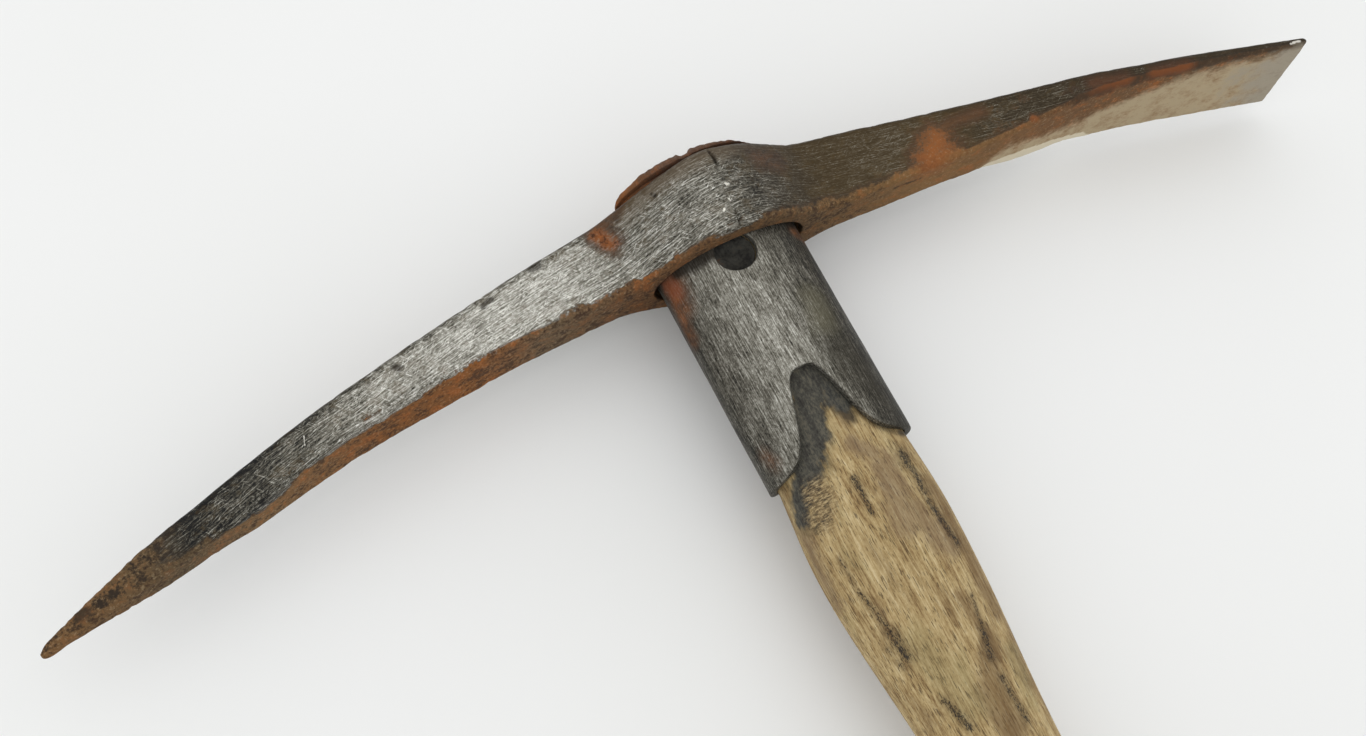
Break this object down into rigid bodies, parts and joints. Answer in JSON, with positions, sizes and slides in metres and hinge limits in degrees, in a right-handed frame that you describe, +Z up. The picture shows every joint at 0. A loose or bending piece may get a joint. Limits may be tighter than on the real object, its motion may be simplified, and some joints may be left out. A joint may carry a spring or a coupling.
{
  "type": "pick axe",
  "caption": "Drop-on pick axe: a forged head with a point and a chisel arm, jammed on the flared steel ferrule of an oval wooden helve.",
  "frame": {"origin": "bottom centre of the whole tool's box, on the surface that the tool lies on", "axes": "+X along the head towards the chisel, +Y along the helve from the butt to the head, +Z up through the broad side of the tool"},
  "size_m": [0.56, 0.9154, 0.066],
  "materials": {
    "head_steel": "worn forged steel, brushed bright on the faces, rusted along the underside",
    "ferrule_steel": "dark worn steel with fine scratches along the helve",
    "rivet_steel": "blackened hammered steel",
    "ash_wood": "bare dry wood, stained and scuffed"
  },
  "bodies": {
    "helve": {"helve": "ash_wood", "ferrule": "ferrule_steel", "ferrule_rivet": "rivet_steel"},
    "head": {"pick_head": "head_steel"}
  },
  "joints": [
    {"name": "head_slide", "type": "slide", "parent": "helve", "child": "head", "axis": [0, -1, 0], "range_m": [0, 0.93]}
  ]
}
